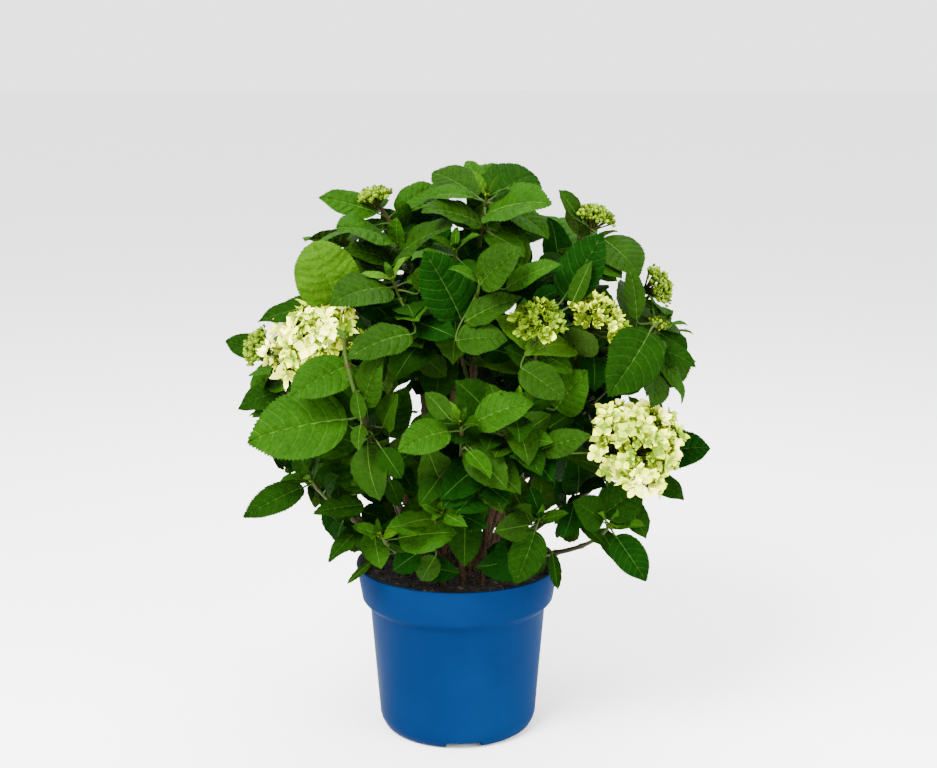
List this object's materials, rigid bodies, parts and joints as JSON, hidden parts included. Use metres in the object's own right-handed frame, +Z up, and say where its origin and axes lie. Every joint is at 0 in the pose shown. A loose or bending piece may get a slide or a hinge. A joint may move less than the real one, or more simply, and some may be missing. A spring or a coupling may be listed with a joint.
{
  "type": "potted hydrangea shrub",
  "caption": "Leafy mophead hydrangea with cream flower heads and green buds on upright canes, growing in a round blue nursery pot that stands on its flat underside",
  "frame": {"origin": "middle of the pot's underside, on the pot's axis, at the level the pot stands on", "axes": "+Z up along the pot's axis and out of its mouth; -Y is the plant's front, the side with the two large cream flower heads; +X is to the right seen from the front"},
  "size_m": [0.5337, 0.4608, 0.6457],
  "materials": {
    "pot_blue": "satin",
    "potting_soil": "matte",
    "cane_bark": "matte",
    "foliage": "satin"
  },
  "bodies": {
    "root": {"pot": "pot_blue", "soil": "potting_soil", "cane_top": "cane_bark", "cane_upper_left": "cane_bark", "cane_upper_right": "cane_bark", "cane_right": "cane_bark", "cane_front_right": "cane_bark", "cane_front_high": "cane_bark", "cane_left": "cane_bark", "cane_front_left": "cane_bark", "cane_front": "cane_bark", "cane_low_left": "cane_bark", "cane_low_right": "cane_bark", "cane_skirt_left": "cane_bark", "cane_skirt_right": "cane_bark", "cane_back_left": "cane_bark", "cane_back": "cane_bark", "cane_back_high": "cane_bark", "cane_back_right": "cane_bark", "cane_back_skirt": "cane_bark", "mass_top": "foliage", "mass_upper_left": "foliage", "mass_upper_right": "foliage", "mass_right": "foliage", "mass_front_right": "foliage", "mass_front_high": "foliage", "mass_left": "foliage", "mass_front_left": "foliage", "mass_front": "foliage", "mass_low_left": "foliage", "mass_low_right": "foliage", "mass_skirt_left": "foliage", "mass_skirt_right": "foliage", "mass_back_left": "foliage", "mass_back": "foliage", "mass_back_high": "foliage", "mass_back_right": "foliage", "mass_back_skirt": "foliage"}
  },
  "joints": []
}
